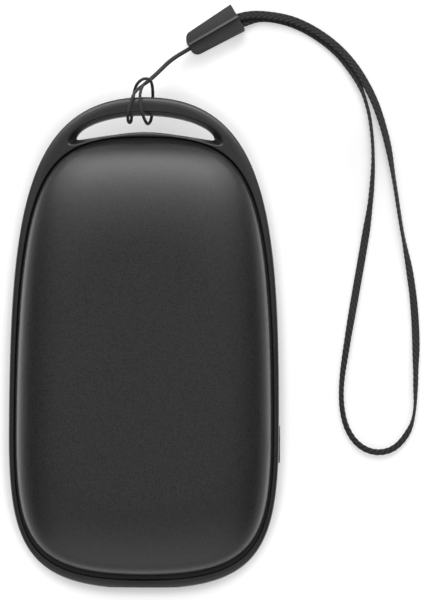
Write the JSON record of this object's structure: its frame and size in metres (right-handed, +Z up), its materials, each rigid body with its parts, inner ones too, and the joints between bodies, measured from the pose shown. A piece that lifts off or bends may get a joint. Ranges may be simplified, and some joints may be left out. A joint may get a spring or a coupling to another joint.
{
  "type": "rechargeable hand warmer",
  "caption": "Egg-shaped pocket hand warmer with domed metal shells on a moulded frame, a carrying arch with a wrist strap, a side button and a charging port.",
  "frame": {"origin": "on the flat of the front shell, on which the warmer lies, at the middle of its length and width", "axes": "+Y from the charging port to the carrying arch, +Z up through the back shell, which is the pictured face, +X to the side with the button"},
  "size_m": [0.09, 0.1291, 0.025],
  "materials": {
    "shell_coat": "bead-blasted and anodised black, satin with a fine sparkle",
    "frame_plastic": "black moulded plastic with a fine matt grain",
    "button_plastic": "black moulded plastic, satin",
    "lens_plastic": "milky diffuser, semi-gloss",
    "lamp_plastic": "clear resin over a yellow phosphor",
    "board_mask": "green solder mask on glass fibre",
    "chip_plastic": "moulded black epoxy",
    "coil_ferrite": "dark grey pressed ferrite",
    "capacitor_ceramic": "tan ceramic with tinned ends",
    "port_steel": "drawn nickel-plated steel",
    "port_plastic": "black moulded tongue",
    "cell_sleeve": "plain blue shrink sleeve on a cell, with a cell's mean density",
    "nickel_strip": "bright nickel strip",
    "cradle_plastic": "natural white moulded plastic",
    "screw_steel": "zinc-plated steel",
    "heater_film": "amber polyimide film",
    "insulation": "pale needled fibre pad",
    "lead_red": "red silicone insulation",
    "lead_black": "black silicone insulation",
    "lead_white": "white silicone insulation",
    "bead_resin": "black epoxy bead",
    "cord_fabric": "black braided cord",
    "crimp_plastic": "black moulded plastic, matt",
    "strap_fabric": "black woven tape with a twill face"
  },
  "bodies": {
    "housing": {"back_shell": "shell_coat", "front_shell": "shell_coat", "mid_frame": "frame_plastic", "switch_body": "chip_plastic", "indicator_lens": "lens_plastic", "indicator_lamps": "lamp_plastic", "control_board": "board_mask", "controller_chip": "chip_plastic", "converter_coil": "coil_ferrite", "chip_capacitors": "capacitor_ceramic", "usb_c_shell": "port_steel", "usb_c_tongue": "port_plastic", "cell_left": "cell_sleeve", "cell_right": "cell_sleeve", "cell_strip_top": "nickel_strip", "cell_strip_bottom": "nickel_strip", "cell_cradle": "cradle_plastic", "cradle_screws": "screw_steel", "board_screws": "screw_steel", "heater_film_back": "heater_film", "insulation_pad_back": "insulation", "heater_film_front": "heater_film", "insulation_pad_front": "insulation", "battery_lead_positive": "lead_red", "battery_lead_negative": "lead_black", "heater_leads_back": "lead_white", "heater_leads_front": "lead_white", "thermistor": "bead_resin", "thermistor_leads": "lead_white", "strap_cord": "cord_fabric", "strap_crimp": "crimp_plastic", "wrist_strap": "strap_fabric"},
    "button": {"power_button": "button_plastic", "switch_stem": "cradle_plastic"}
  },
  "joints": [
    {"name": "button_press", "type": "slide", "parent": "housing", "child": "button", "axis": [-1, 0, 0], "range_m": [0, 0.00025], "stiffness_N_per_m": 4000}
  ]
}
